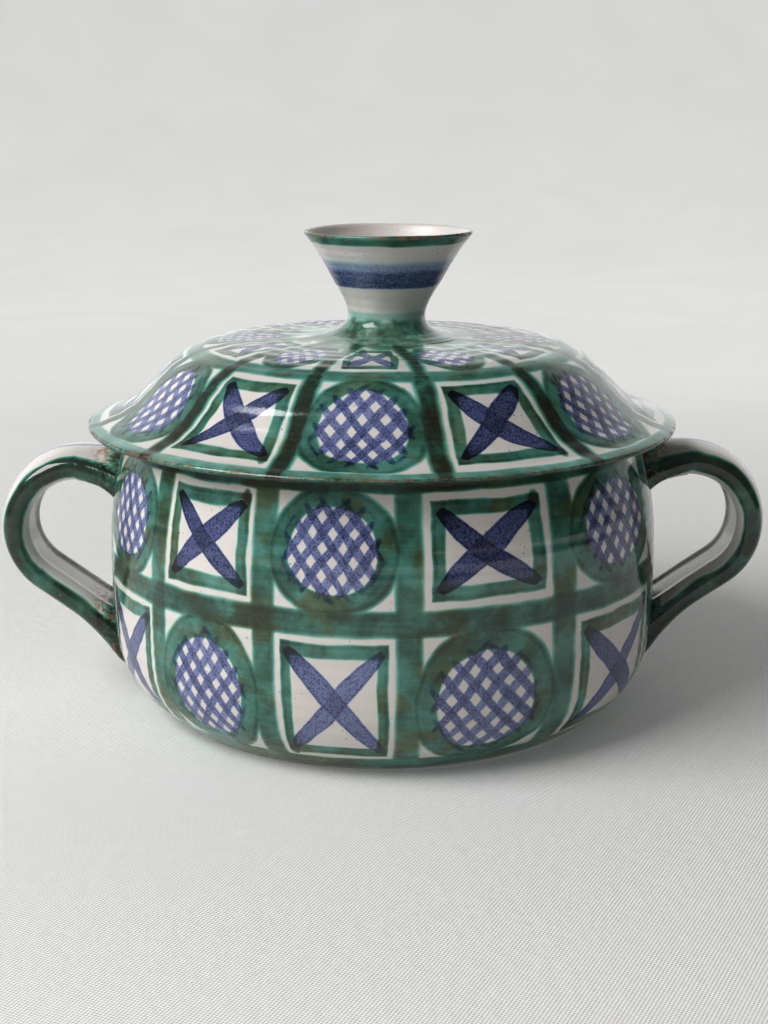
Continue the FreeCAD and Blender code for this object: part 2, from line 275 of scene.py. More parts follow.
def make_lid():
    """The lid's dome. Its edge rises and falls a little, as it warped in the kiln."""
    edge_run = run_where(LID_OUTLINE, RADIUS, LID_RADIUS - 1)
    foot_run = run_where(LID_OUTLINE, RADIUS, 36)

    def waves(azimuth, run, radius):
        before_edge = 1 - smooth_share(run, edge_run - 4, edge_run + 4)
        before_seat = 1 - smooth_share(run, edge_run + 3, edge_run + 7)
        top = smooth_share(run, foot_run, foot_run + 12) * before_edge
        edge = smooth_share(run, edge_run - 30, edge_run - 4) * before_seat
        under = smooth_share(run, edge_run + 45, edge_run + 60) * smooth_share(radius, 10, 50)
        lift = 0.25 * np.sin(2 * azimuth + 0.4) + 0.15 * np.sin(5 * azimuth)
        return (top * thrown_waves(azimuth, run, 9.0, 0.16, 0.45, 1.9) + edge * lift
                + under * thrown_waves(azimuth, run, 8.0, 0.3, 0.2, 0.3))

    piece = lathe("lid", LID_OUTLINE, LID_TURNS, waves)
    piece.data.materials.append(lid_material())
    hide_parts("lid_dome")
    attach(piece, "lid")


def make_ring():
    """The plain ring under the lid, slightly out of round."""
    def waves(azimuth, run, radius):
        return 0.12 * np.sin(3 * azimuth + run / 9)

    piece = lathe("locating_ring", RING_OUTLINE, RING_TURNS, waves)
    piece.data.materials.append(plain_glaze_material())
    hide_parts("lid_locating_ring")
    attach(piece, "seat_ring")


def make_knob():
    """The knob stands a little off the lid's axis and leans, as a knob thrown on its own does."""
    def waves(azimuth, run, radius):
        uneven = 0.20 * np.sin(2 * azimuth + 0.8) + 0.10 * np.sin(5 * azimuth + run / 12)
        ridges = 0.035 * np.sin(2 * np.pi * run / 4.2 + azimuth)
        return smooth_share(radius, 12, 18) * (uneven + ridges)

    piece = lathe("knob", KNOB_OUTLINE, KNOB_TURNS, waves)
    lean = KNOB_LEAN / (KNOB_TOP - CROWN)
    for vertex in piece.data.vertices:
        vertex.co.x += KNOB_ASIDE * MM + max(0, vertex.co.z - CROWN * MM) * lean
    piece.data.materials.append(knob_material())
    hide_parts("lid_knob")
    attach(piece, "lid")


STRAP_HALF_WIDTH = 18.6
STRAP_HALF_THICKNESS = 7.0
LOOP_CENTRE_REACH = 137.5
LOOP_RADIUS = 28.5
LOWER_SLOPE = math.radians(35)
ROOT_DEPTH = 3.0
SECTION_POINTS = 64
LOOP_STATIONS = 56
UPPER_STATIONS = 22
LOWER_STATIONS = 26
OFF_THE_WALL = 99.0
SPREAD_REACH = 26
PRESS_REACH = 9


def strap_section(count):
    """Round the strap's section: (across, outward) pairs. The edges are full and round, the outer
    face is crowned, and the inner face has a shallow groove between two rims."""
    angle = np.arange(count) * 2 * np.pi / count
    across = STRAP_HALF_WIDTH * np.sign(np.cos(angle)) * np.abs(np.cos(angle)) ** 0.72
    outward = STRAP_HALF_THICKNESS * np.sign(np.sin(angle)) * np.abs(np.sin(angle)) ** 0.78
    crown = 0.6 * np.exp(-(across / 6) ** 2) * (outward > 0)
    groove = 1.7 * (1 - smooth_share(np.abs(across), 7.0, 11.5)) * (outward < 0)
    return across, outward + crown + groove


def wall_gap(start, direction, across):
    """How far along a straight line in the handle's plane, shifted across it, to the bowl's wall.
    It is found in ever smaller steps of part of the clear distance."""
    travelled = 0.0
    for _ in range(40):
        x, z = start + travelled * direction
        clear = math.hypot(x, across) - bowl_radius(z)
        travelled += 0.6 * clear
    return travelled


def strap_fibres(top, across, outward):
    """One line along the strap for each point of its section, from the upper root round the loop to
    the lower root. Each is a list of ((x, z), gap to the wall); it starts and ends in the wall."""
    centre = np.array([LOOP_CENTRE_REACH, top - LOOP_RADIUS])
    loop_angles = np.linspace(math.pi / 2, -(math.pi / 2 - LOWER_SLOPE), LOOP_STATIONS)
    upper_way = np.array([-1.0, 0.0])
    lower_way = np.array([-math.cos(LOWER_SLOPE), -math.sin(LOWER_SLOPE)])
    fibres = []
    for point_across, point_out in zip(across, outward):
        radial = LOOP_RADIUS + point_out
        loop = [centre + radial * np.array([math.cos(a), math.sin(a)]) for a in loop_angles]
        up_gap = wall_gap(loop[0], upper_way, point_across)
        low_gap = wall_gap(loop[-1], lower_way, point_across)
        upper = [(loop[0] + upper_way * reach, up_gap - reach)
                 for reach in np.linspace(up_gap + ROOT_DEPTH, 0, UPPER_STATIONS)[:-1]]
        lower = [(loop[-1] + lower_way * reach, low_gap - reach)
                 for reach in np.linspace(0, low_gap + ROOT_DEPTH, LOWER_STATIONS)[1:]]
        middle = [(place, OFF_THE_WALL) for place in loop]
        fibres.append(upper + middle + lower)
    return fibres


def press_root(share_across, inner, outer, lower_root):
    """How a root is shaped by the thumb: how far it spreads, how far it is drawn down the wall, and
    how far its last millimetres are pushed up or down."""
    if lower_root:
        return 0.16, 2.0 * share_across ** 2 + 8.0 * outer, 1.2 * inner
    return 0.30, 6.5 * share_across ** 2 + 1.5 * inner, -3.5 * inner


def make_handle(name, node, side):
    """A pulled strap whose ends widen and are pressed down the wall. side is 1 towards +X."""
    high = node_box(node)[1]
    across, outward = strap_section(SECTION_POINTS)
    fibres = strap_fibres(high.z - STRAP_HALF_THICKNESS, across, outward)
    stations, around = len(fibres[0]), len(fibres)
    vertices = np.zeros((stations, around, 3))
    gaps = np.zeros((stations, around))
    for column, fibre in enumerate(fibres):
        share_across = across[column] / STRAP_HALF_WIDTH
        outer = max(0.0, outward[column] / STRAP_HALF_THICKNESS)
        inner = max(0.0, -outward[column] / STRAP_HALF_THICKNESS)
        for row, ((x, z), gap) in enumerate(fibre):
            near = float(np.clip(1 - gap / SPREAD_REACH, 0, 1)) ** 2
            close = float(np.clip(1 - gap / PRESS_REACH, 0, 1)) ** 2
            spread, drop, lift = press_root(share_across, inner, outer, row > stations / 2)
            y = across[column] * (1 + spread * near)
            vertices[row, column] = (x, y, z - drop * near + lift * close)
            gaps[row, column] = gap
    along = np.linspace(0, 1, stations)
    wave = 0.35 * np.sin(9 * along + 1.1 + side) + 0.2 * np.sin(23 * along)
    vertices[:, :, 1] *= (1 + 0.02 * wave)[:, None]
    vertices[:, :, 2] += 0.25 * np.sin(14 * along + 2 * side)[:, None]
    vertices[:, :, 0] *= side
    vertices[:, :, 1] *= side
    faces = quads_between(stations, around)
    faces.append(tuple(reversed(range(around))))
    faces.append(tuple((stations - 1) * around + column for column in range(around)))
    values = {
        "gap": gaps.ravel(),
        "across": np.tile(across * side, stations),
        "outward": np.tile(outward, stations),
    }
    piece = new_piece(name, vertices.reshape(-1, 3), faces, values)
    piece.data.materials.append(handle_material())
    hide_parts(node)
    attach(piece, "pot")


# ---- Node arithmetic ----


class Wire:
    """One number inside a node tree. Arithmetic on wires adds Math nodes to the tree."""

    def __init__(self, tree, socket):
        self.tree = tree
        self.socket = socket

    def math(self, operation, *others):
        node = self.tree.nodes.new("ShaderNodeMath")
        node.operation = operation
        for socket, value in zip(node.inputs, (self, *others)):
            plug(self.tree, value, socket)
        return Wire(self.tree, node.outputs[0])

    def __add__(self, other):
        return self.math("ADD", other)

    def __sub__(self, other):
        return self.math("SUBTRACT", other)

    def __rsub__(self, other):
        return (self * -1) + other

    def __mul__(self, other):
        return self.math("MULTIPLY", other)

    def __truediv__(self, other):
        return self.math("DIVIDE", other)

    __radd__ = __add__
    __rmul__ = __mul__

    def size(self):
        return self.math("ABSOLUTE")

    def root(self):
        return self.math("SQRT")

    def floor(self):
        return self.math("FLOOR")

    def fraction(self):
        return self.math("FRACT")

    def below(self, edge, softness):
        """1 where this is under the edge, 0 where it is over, easing across the softness."""
        return ease(self, edge, softness, falling=True)

    def above(self, edge, softness):
        return ease(self, edge, softness, falling=False)

    def between(self, low, high, softness):
        return self.above(low, softness) * self.below(high, softness)


def plug(tree, value, socket):
    """Link a wire or a socket to an input, or set the input's number."""
    if isinstance(value, Wire):
        tree.links.new(value.socket, socket)
    elif isinstance(value, bpy.types.NodeSocket):
        tree.links.new(value, socket)
    else:
        socket.default_value = value


def ease(value, edge, softness, falling):
    """A smooth step from 0 to 1 across the edge, or from 1 to 0 where falling."""
    node = value.tree.nodes.new("ShaderNodeMapRange")
    node.interpolation_type = "SMOOTHSTEP"
    plug(value.tree, value, node.inputs["Value"])
    plug(value.tree, edge - softness, node.inputs["From Min"])
    plug(value.tree, edge + softness, node.inputs["From Max"])
    node.inputs["To Min"].default_value = 1.0 if falling else 0.0
    node.inputs["To Max"].default_value = 0.0 if falling else 1.0
    return Wire(value.tree, node.outputs["Result"])


def smaller(a, b):
    return a.math("MINIMUM", b)


def larger(a, b):
    return a.math("MAXIMUM", b)


def union(*covers):
    """How much of the surface is under any of the covers, each from 0 to 1."""
    bare = 1 - covers[0]
    for cover in covers[1:]:
        bare = bare * (1 - cover)
    return 1 - bare


def choose(share, first, second):
    """first where share is 0, second where it is 1."""
    return first * (1 - share) + second * share


def vector(tree, x, y, z):
    node = tree.nodes.new("ShaderNodeCombineXYZ")
    for socket, value in zip(node.inputs, (x, y, z)):
        plug(tree, value, socket)
    return node.outputs[0]


def parts(tree, socket):
    node = tree.nodes.new("ShaderNodeSeparateXYZ")
    tree.links.new(socket, node.inputs[0])
    return [Wire(tree, output) for output in node.outputs]


def noise(tree, place, grain, detail=2.0, roughness=0.5, distortion=0.0):
    """Smooth noise, about 0.5 on average, whose lumps are about grain millimetres across."""
    node = tree.nodes.new("ShaderNodeTexNoise")
    plug(tree, place, node.inputs["Vector"])
    node.inputs["Scale"].default_value = 1.0 / grain
    node.inputs["Detail"].default_value = detail
    node.inputs["Roughness"].default_value = roughness
    node.inputs["Distortion"].default_value = distortion
    return node


def noise_value(tree, place, grain, **options):
    return Wire(tree, noise(tree, place, grain, **options).outputs[0])


def dice(tree, place):
    """Three random numbers from 0 to 1 that depend only on the whole-numbered place."""
    node = tree.nodes.new("ShaderNodeTexWhiteNoise")
    node.noise_dimensions = "3D"
    plug(tree, place, node.inputs["Vector"])
    return parts(tree, node.outputs["Color"])


def ramp(tree, value, stops):
    """A colour ramp whose stops are (position, (r, g, b))."""
    node = tree.nodes.new("ShaderNodeValToRGB")
    plug(tree, value, node.inputs[0])
    elements = node.color_ramp.elements
    while len(elements) < len(stops):
        elements.new(0.5)
    for element, (position, colour) in zip(elements, stops):
        element.position = position
        element.color = (*colour, 1)
    return node.outputs[0]


def blend(tree, mode, share, first, second):
    """The second colour laid over the first in a blend mode, by a share from 0 to 1."""
    node = tree.nodes.new("ShaderNodeMix")
    node.data_type = "RGBA"
    node.blend_type = mode
    plug(tree, share, node.inputs["Factor"])
    for socket, value in ((node.inputs[6], first), (node.inputs[7], second)):
        plug(tree, (*value, 1) if isinstance(value, tuple) else value, socket)
    return node.outputs[2]


# ---- Paint and glaze ----

WHITE_GLAZE = (0.70, 0.665, 0.635)
WHITE_GLAZE_THIN = (0.62, 0.555, 0.515)
TERRACOTTA = (0.30, 0.105, 0.045)
SPECK = (0.035, 0.022, 0.015)
RUST = (0.20, 0.088, 0.038)
# A brown for stains in the glaze; on the handles it also lays painted shade in the groove.
BROWN_STAIN_AND_SHADE = (0.42, 0.27, 0.15)
GLAZE_IOR = 1.62

# What each paint multiplies the white glaze by, from none of it to the full amount.
FULL_GREEN = 2.4
FULL_BLUE = 2.2
GREEN_STOPS = [
    (0.0, (1, 1, 1)),
    (0.05, (0.66, 0.93, 0.88)),
    (0.14, (0.30, 0.67, 0.60)),
    (0.30, (0.130, 0.385, 0.330)),
    (0.46, (0.080, 0.262, 0.212)),
    (0.62, (0.045, 0.158, 0.122)),
    (0.80, (0.034, 0.098, 0.073)),
    (1.0, (0.040, 0.068, 0.051)),
]
OLIVE_SHIFT = (1.12, 0.62, 0.42)
BLUE_STOPS = [
    (0.0, (1, 1, 1)),
    (0.10, (0.63, 0.70, 0.89)),
    (0.25, (0.34, 0.40, 0.70)),
    (0.43, (0.155, 0.195, 0.44)),
    (0.62, (0.075, 0.095, 0.235)),
    (0.82, (0.036, 0.045, 0.11)),
    (1.0, (0.02, 0.025, 0.06)),
]


class Glaze:
    """A glazed clay material being built: its tree, its place in millimetres and common noises."""

    def __init__(self, name, seed):
        self.material = bpy.data.materials.new(name)
        self.material.use_nodes = True
        self.tree = self.material.node_tree
        self.shader = self.tree.nodes["Principled BSDF"]
        coordinates = self.tree.nodes.new("ShaderNodeTexCoord")
        scaled = self.tree.nodes.new("ShaderNodeVectorMath")
        scaled.operation = "SCALE"
        self.tree.links.new(coordinates.outputs["Object"], scaled.inputs[0])
        scaled.inputs["Scale"].default_value = 1 / MM
        self.x, self.y, self.z = parts(self.tree, scaled.outputs[0])
        self.radius = (self.x * self.x + self.y * self.y).root()
        self.middle = scaled.outputs[0]
        self.place = self.moved(seed)

    def moved(self, seed):
        """The place shifted far away, so that noises read there differ from the others."""
        node = self.tree.nodes.new("ShaderNodeVectorMath")
        node.operation = "ADD"
        self.tree.links.new(self.middle, node.inputs[0])
        node.inputs[1].default_value = (seed * 371.0, seed * 113.0, seed * 57.0)
        return node.outputs[0]

    def attribute(self, name):
        node = self.tree.nodes.new("ShaderNodeAttribute")
        node.attribute_name = name
        return Wire(self.tree, node.outputs["Fac"])

    def azimuth(self):
        """Degrees from the front, positive towards +X."""
        return self.x.math("ARCTAN2", self.y * -1) * (180 / math.pi)

    def noise(self, grain, **options):
        return noise_value(self.tree, self.place, grain, **options)

    def shake(self, grain, amount):
        """Two small offsets in millimetres that wander over the surface."""
        node = noise(self.tree, self.place, grain, detail=1.0)
        r, g, _ = parts(self.tree, node.outputs["Color"])
        return (r - 0.5) * (2 * amount), (g - 0.5) * (2 * amount)

    def specks(self, spacing, chance, radius):
        """Round dots, one at most in each cell of that spacing, 1 inside a dot."""
        node = self.tree.nodes.new("ShaderNodeTexVoronoi")
        plug(self.tree, self.place, node.inputs["Vector"])
        node.inputs["Scale"].default_value = 1 / spacing
        r, g, _ = parts(self.tree, node.outputs["Color"])
        distance = Wire(self.tree, node.outputs["Distance"]) * spacing
        size = g * (0.8 * radius) + 0.35 * radius
        inside = (distance - size).below(0.0, 0.15)
        return inside * r.below(chance, 0.001)

    def white_glaze(self):
        """The tin glaze's colour, warmer where the coat is thin."""
        thin_share = smaller(larger((self.noise(24.0, detail=2.0) - 0.45) * 1.6, 0.0), 1.0)
        return blend(self.tree, "MIX", thin_share, WHITE_GLAZE, WHITE_GLAZE_THIN)

    def finish(self, green, blue, bare, gloss=0.07, stain=0.0, olive_share=1.0):
        """Colour, roughness and bump from the paint amounts, the bare clay and the brown stain, which on
        the handles also lays painted shade in the groove.
        """
        tree = self.tree
        cloud = self.noise(15.0, detail=4.0, roughness=0.55).above(0.50, 0.17)
        mottle = self.noise(3.5, detail=3.0, roughness=0.65)
        grit = self.noise(0.8, detail=2.0, roughness=0.75)
        green_amount = green * (0.72 + cloud * 0.62) * (0.74 + mottle * 0.62) * (0.90 + grit * 0.26)
        grains = grit.above(0.56, 0.10)
        blue_amount = blue * (0.66 + mottle * 0.5 + grains * 0.8)
        olive = noise_value(tree, self.moved(9), 21.0, detail=3.0, roughness=0.6).above(0.545, 0.07)
        olive = olive * green.above(0.35, 0.3) * olive_share
        teal = ramp(tree, green_amount / FULL_GREEN, GREEN_STOPS)
        green_tint = blend(tree, "MULTIPLY", olive, teal, OLIVE_SHIFT)
        blue_tint = ramp(tree, blue_amount / FULL_BLUE, BLUE_STOPS)
        colour = blend(tree, "MULTIPLY", 1.0, self.white_glaze(), green_tint)
        colour = blend(tree, "MULTIPLY", 1.0, colour, blue_tint)
        patches = noise_value(tree, self.moved(4), 22.0, detail=2.0).above(0.56, 0.05)
        rust = union(self.specks(7.0, 0.16, 0.55), self.specks(2.2, 0.32, 0.38) * patches) * 0.85
        dots = union(self.specks(6.5, 0.20, 0.42), self.specks(1.8, 0.38, 0.30) * patches) * 0.85
        colour = blend(tree, "MIX", rust, colour, RUST)
        colour = blend(tree, "MIX", dots, colour, SPECK)
        brown = self.noise(2.2, detail=3.0, roughness=0.7).above(0.5, 0.14) * stain
        colour = blend(tree, "MULTIPLY", brown, colour, BROWN_STAIN_AND_SHADE)
        clay = ramp(tree, grit, [(0.2, tuple(c * 0.7 for c in TERRACOTTA)), (0.8, TERRACOTTA)])
        colour = blend(tree, "MIX", bare, colour, clay)
        tree.links.new(colour, self.shader.inputs["Base Color"])
        glazed = self.noise(30.0, detail=2.0) * 0.09 + gloss + smaller(blue, 1.0) * 0.05 + dots * 0.2
        plug(tree, choose(bare, glazed, grit * 0.2 + 0.6), self.shader.inputs["Roughness"])
        self.shader.inputs["IOR"].default_value = GLAZE_IOR
        relief = (self.noise(18.0, detail=1.0) * 0.8 + self.noise(3.0, detail=2.0) * 0.10
                  - dots * 0.10 - rust * 0.05 + bare * (grit * 0.12 - 0.2)
                  + smaller(green_amount, 1.2) * 0.04 + smaller(blue_amount, 1.2) * 0.07)
        self.emboss(relief * 0.55, 1.0, MM)
        return self.material

    def emboss(self, height, strength, distance):
        """Bump from a height, which is 1 for each distance in metres."""
        bump = self.tree.nodes.new("ShaderNodeBump")
        bump.inputs["Strength"].default_value = strength
        bump.inputs["Distance"].default_value = distance
        plug(self.tree, height, bump.inputs["Height"])
        self.tree.links.new(bump.outputs[0], self.shader.inputs["Normal"])


class Cell:
    """One square of the chequered painting, centred on x = y = 0 and measured in millimetres.

    scale shrinks the brush for small cells, number tells the cells apart, and dice are three
    random numbers of its own."""

    def __init__(self, tree, x, y, half_width, half_height, scale, number, dice):
        self.tree, self.x, self.y = tree, x, y
        self.half_width, self.half_height = half_width, half_height
        self.scale, self.number, self.dice = scale, number, dice


def hatch(cell, away, disc, family, steep):
    """One family of parallel blue strokes over a disc. The strokes run on over the green ring and
    end there in a drop. away is the distance from the disc's middle and disc its radius."""
    first, second, third = cell.dice
    lean = (second - 0.5) * 0.16
    across = (cell.x * (0.78 + lean) * steep + cell.y * 0.62) / cell.scale
    along = (cell.y * (0.78 + lean) - cell.x * 0.62 * steep) / cell.scale
    pitch = 6.9 + third * 0.9
    steps = across / pitch + (first if family else third)
    from_line = (steps.fraction() - 0.5).size() * pitch
    end = along.above(0.0, 0.01)
    stroke = vector(cell.tree, steps.floor() + end * 40, cell.number, float(family))
    reach_dice, width_dice, dark_dice = dice(cell.tree, stroke)
    over = (away - disc) / cell.scale
    reach = reach_dice * 3.4 + 0.2
    outside = over.above(0.2, 0.5)
    bar = from_line.below(1.55 + width_dice * 0.45 - outside * 0.55, 0.38) * over.below(reach, 0.5)
    past = (over - reach) / 1.3
    drop = (past * past + from_line * from_line).root().below(0.80 + width_dice * 0.35, 0.4)
    return bar * (0.60 + dark_dice * 0.26) * (1 - outside * 0.5), drop * (dark_dice * 0.8 + 0.1)


def lattice_tile(cell, disc_share):
    """A ring of green round a disc crosshatched in blue. Returns green cover and blue amount."""
    first, second, third = cell.dice
    x = cell.x - (first - 0.5) * 1.6
    y = cell.y - (second - 0.5) * 1.4
    mean = (cell.half_width + cell.half_height) * 0.5
    wide, high = x / cell.half_width, y / cell.half_height
    away = (wide * wide + high * high).root() * mean
    disc = mean * (disc_share + third * 0.03)
    edge = mean * 1.11
    ring = away.above(disc, 0.75) * away.below(edge, 1.2)
    outline = away.between(edge - 2.4, edge - 0.6, 0.6)
    falls, fall_ends = hatch(cell, away, disc, 0, 1.0)
    rises, rise_ends = hatch(cell, away, disc, 1, -1.0)
    strokes = larger(falls, rises * 0.92) + smaller(falls, rises) * 0.30
    return ring * (1 + outline * 0.30), strokes + larger(fall_ends, rise_ends) * 0.8


def square_frame(cell):
    """Green cover of a hand-drawn square frame, and how far across and up a cross reaches in it."""
    first, second, third = cell.dice
    from_side = (cell.half_width - cell.x.size()) / cell.scale
    from_end = (cell.half_height - cell.y.size()) / cell.scale
    margin = 2.9 + first * 1.0
    side_stroke = 4.3 + second * 1.0
    end_stroke = 5.4 + third * 1.2
    inside = smaller(from_side, from_end).above(margin, 0.7)
    sides = from_side.below(margin + side_stroke, 0.75) * inside
    ends = from_end.below(margin + end_stroke, 0.75) * inside
    lip = smaller(from_side, from_end).between(margin + 0.4, margin + 1.8, 0.6)
    blot_x = from_side - margin - side_stroke * 0.4
    blot_y = from_end - margin - end_stroke * 0.3
    corner = (cell.x * (second - 0.5)).above(0.0, 0.01) * (cell.y * (0.35 - third)).above(0.0, 0.01)
    blot = (blot_x * blot_x + blot_y * blot_y * 0.35).root().below(1.9, 0.8) * corner
    green = union(sides, ends) * (0.92 + lip * 0.25) + sides * ends * 0.25 + blot * 1.3
    reach_x = cell.half_width - (margin + side_stroke * 0.45) * cell.scale
    reach_y = cell.half_height - (margin + end_stroke * 0.55) * cell.scale
    return green, reach_x, reach_y


def cross_tile(cell):
    """A green square frame with a blue cross of two tapered strokes. Returns green and blue."""
    _, second, third = cell.dice
    green, reach_x, reach_y = square_frame(cell)
    wide, high = cell.x / reach_x, cell.y / reach_y
    aside_scale = (reach_x + reach_y) * 0.35
    covers = []
    for number, own, other in ((0, second, third), (1, third, second)):
        steep = 1.0 if number == 0 else -1.0
        along = (wide * steep - high) * 0.5
        bow = (1 - along * along) * (own - 0.5) * 3.0
        aside = ((wide * steep + high) * aside_scale / cell.scale + bow).size()
        swell = larger(1 - along * along, 0.0).root()
        half = swell * (3.2 + other * 0.9) + along * (own - 0.5) * 1.4 * swell + 0.8
        body = (aside - half).below(0.0, 0.4) * along.size().below(0.985, 0.03)
        rim = (aside - half).between(-1.0, 0.1, 0.4) * body
        dark_end = (along * (1.0 if number else -1.0)).above(0.72, 0.22)
        tip = along.size().above(0.93, 0.05)
        tone = 0.92 + dark_end * 0.50 + tip * 0.45 + rim * 0.18 - number * 0.08
        covers.append(body * tone)
    return green, larger(covers[0], covers[1]) + smaller(covers[0], covers[1]) * 0.22


SECTORS = 12
SECTOR_DEGREES = 30.0
UNLIMITED = 99.0

# A row of squares: the run at its lower and upper ends, the scale of the brush, half the width of
# the vertical bands beside it, and the most that half a square's width may be. Millimetres.
Row = namedtuple("Row", "low high brush band_half widest")


def painted_tiles(glaze, run, rows, first_band, bend_degrees, disc_share):
    """The chequered painting between evenly spaced vertical bands, in a first and a second row.

    first_band is one band's azimuth and bend_degrees how far the bands wander from even spacing.
    Returns green cover, blue amount, the distance to the middle of the nearest vertical band and
    half that band's width."""
    tree = glaze.tree
    azimuth = glaze.azimuth()
    bend = ((azimuth - 10.0) * (math.pi / 90)).math("COSINE") * bend_degrees
    steps = (azimuth + bend - first_band) / SECTOR_DEGREES
    sector = steps.floor()
    first_row, second_row = rows
    in_second = run.above((first_row.high + second_row.low) / 2, 0.001)

    def per_row(first, second):
        return in_second * (second - first) + first

    number = ((sector / SECTORS).fraction() * (2 * SECTORS) + in_second).math("ROUND")
    random = dice(tree, vector(tree, number, 5.0, 3.0))
    shake_x, shake_y = glaze.shake(17.0, 1.3)
    fine_x, fine_y = glaze.shake(3.5, 0.14)
    sector_mm = glaze.radius * math.radians(SECTOR_DEGREES)
    x = (steps - sector - 0.5) * sector_mm + shake_x + fine_x
    y = run - per_row(*((row.low + row.high) / 2 for row in rows)) + shake_y + fine_y
    half_height = per_row(*((row.high - row.low) / 2 for row in rows))
    band_half = per_row(first_row.band_half, second_row.band_half)
    half_width = larger(sector_mm * 0.5 - band_half, 2.0)
    half_width = smaller(half_width, per_row(first_row.widest, second_row.widest))
    brush = per_row(first_row.brush, second_row.brush)
    cell = Cell(tree, x, y, half_width, half_height, brush, number, random)
    ring, strokes = lattice_tile(cell, disc_share)
    square, cross = cross_tile(cell)
    turn = ((sector + in_second) * 0.5).fraction().above(0.25, 0.001)
    tile = y.size().below(half_height + 0.8, 0.8)
    strength = random[1] * 0.50 + 0.85
    green = choose(turn, ring, square) * tile
    blue = choose(turn, strokes, cross) * tile * strength
    to_band = ((steps - sector - 0.5).size() - 0.5).size() * sector_mm + shake_x * 0.5 + fine_x
    return green, blue, to_band, band_half


def laid_green(glaze, run, strokes, tiles, doubled):
    """Green amount where bands and tiles cover the glaze, with more where brushstrokes overlap and
    with fine streaks that follow the wheel's turn."""
    place = vector(glaze.tree, glaze.x * 0.16, glaze.y * 0.16, run * 3.0)
    streaks = noise_value(glaze.tree, place, 4.0, detail=3.0) * 0.5 + 0.75
    return (union(strokes, smaller(tiles, 1.0)) + doubled + larger(tiles - 1.0, 0.0)) * streaks


def bowl_material():
    """Two rows of squares between green bands at the foot, the waist and the rim. The base is bare
    clay."""
    glaze = Glaze("bowl_painted_glaze", seed=1)
    run = glaze.attribute("run")
    foot = run_where(BOWL_OUTLINE, RADIUS, FOOT_RADIUS)
    bottom_band = run_where(BOWL_OUTLINE, HEIGHT, 9.5)
    band_low = run_where(BOWL_OUTLINE, HEIGHT, 66)
    band_high = run_where(BOWL_OUTLINE, HEIGHT, 76)
    rim_band = run_where(BOWL_OUTLINE, HEIGHT, 122.0)
    rim_end = run_where(BOWL_OUTLINE, HEIGHT, 126.0, last=True)
    rows = (Row(bottom_band, band_low, brush=1.0, band_half=5.0, widest=UNLIMITED),
            Row(band_high, rim_band, brush=1.0, band_half=5.2, widest=UNLIMITED))
    tiles, blue, to_band, band_half = painted_tiles(
        glaze, run, rows, first_band=9.2, bend_degrees=4.3, disc_share=0.745)
    waver, _ = glaze.shake(22.0, 1.3)
    course = run + waver
    bands = to_band.below(band_half, 1.5)
    waist = course.between(band_low, band_high, 1.4)
    low = run.between(foot + 0.5, bottom_band, 1.1)
    rim = course.between(rim_band, rim_end + 3.0, 0.9)
    painted = run.between(foot + 0.5, rim_end, 0.6)
    strokes = union(bands, waist, low, rim)
    # rim * 0.75 lays the rim band extra dark: a heavier coat of green, and painted shade where the lid's
    # edge overhangs it.
    doubled = bands * waist * 0.25 + waist * 0.32 + rim * 0.75 - low * 0.15
    green = laid_green(glaze, run, strokes, tiles, doubled) * painted
    bare = run.below(foot - 2.0, 1.2)
    chips = glaze.noise(2.6, detail=2.0).above(0.74, 0.02) * run.between(rim_end - 4, rim_end + 2, 1.0)
    stain = run.below(foot + 7.0, 6.0) * 0.5
    return glaze.finish(green, blue * painted, smaller(bare + chips, 1.0), stain=stain)


def lid_material():
    """Small squares on the crown and large ones on the shoulder, between radial bands whose middles
    fired brown. The underside is plain white."""
    glaze = Glaze("lid_painted_glaze", seed=2)
    run = glaze.attribute("run")
    knob_foot = run_where(LID_OUTLINE, RADIUS, 27)
    inner_low = run_where(LID_OUTLINE, RADIUS, 41)
    ring_low = run_where(LID_OUTLINE, RADIUS, 79.5)
    ring_high = run_where(LID_OUTLINE, RADIUS, 86.5)
    edge_band = run_where(LID_OUTLINE, RADIUS, 124.5)
    edge_top = run_where(LID_OUTLINE, RADIUS, 130.6)
    edge_end = run_where(LID_OUTLINE, RADIUS, 126.0, last=True)
    rows = (Row(inner_low, ring_low, brush=0.74, band_half=2.2, widest=14.0),
            Row(ring_high, edge_band, brush=1.0, band_half=3.4, widest=UNLIMITED))
    tiles, blue, to_band, band_half = painted_tiles(
        glaze, run, rows, first_band=12.0, bend_degrees=1.2, disc_share=0.76)
    waver, _ = glaze.shake(24.0, 1.2)
    course = run + waver
    bands = to_band.below(band_half + 0.8, 1.6)
    core = to_band.below(band_half * 0.85, 1.1)
    core = core * glaze.noise(19.0, detail=2.0).above(0.34, 0.12)
    ring = course.between(ring_low, ring_high, 1.3)
    edge = course.between(edge_band + 1.5, edge_end, 1.0)
    foot = course.below(knob_foot + 4.0, 4.5)
    wash = course.below(inner_low, 5.0) * glaze.noise(9.0, detail=2.0).above(0.47, 0.12)
    painted = run.below(edge_end, 1.0)
    past_foot = course.above(knob_foot - 1.0, 1.5)
    strokes = union(bands * past_foot, ring, edge * 0.85, foot, wash * 0.8)
    doubled = core * past_foot * 1.15 - edge * 0.25 - ring * 0.12
    green = laid_green(glaze, run, strokes, tiles, doubled) * painted
    line = run.between(edge_top - 0.5, edge_top + 0.6, 0.3)
    worn = line * glaze.noise(7.0, detail=3.0).above(0.52, 0.06) * 0.6
    underside = run.between(edge_top + 1.0, edge_end, 0.7)
    brown = core * past_foot * (glaze.noise(11.0, detail=2.0) * 0.9 + 0.1)
    brown = brown + underside * 1.1 + line * 1.1
    return glaze.finish(green + underside, blue * painted, worn, stain=brown, olive_share=0.65)


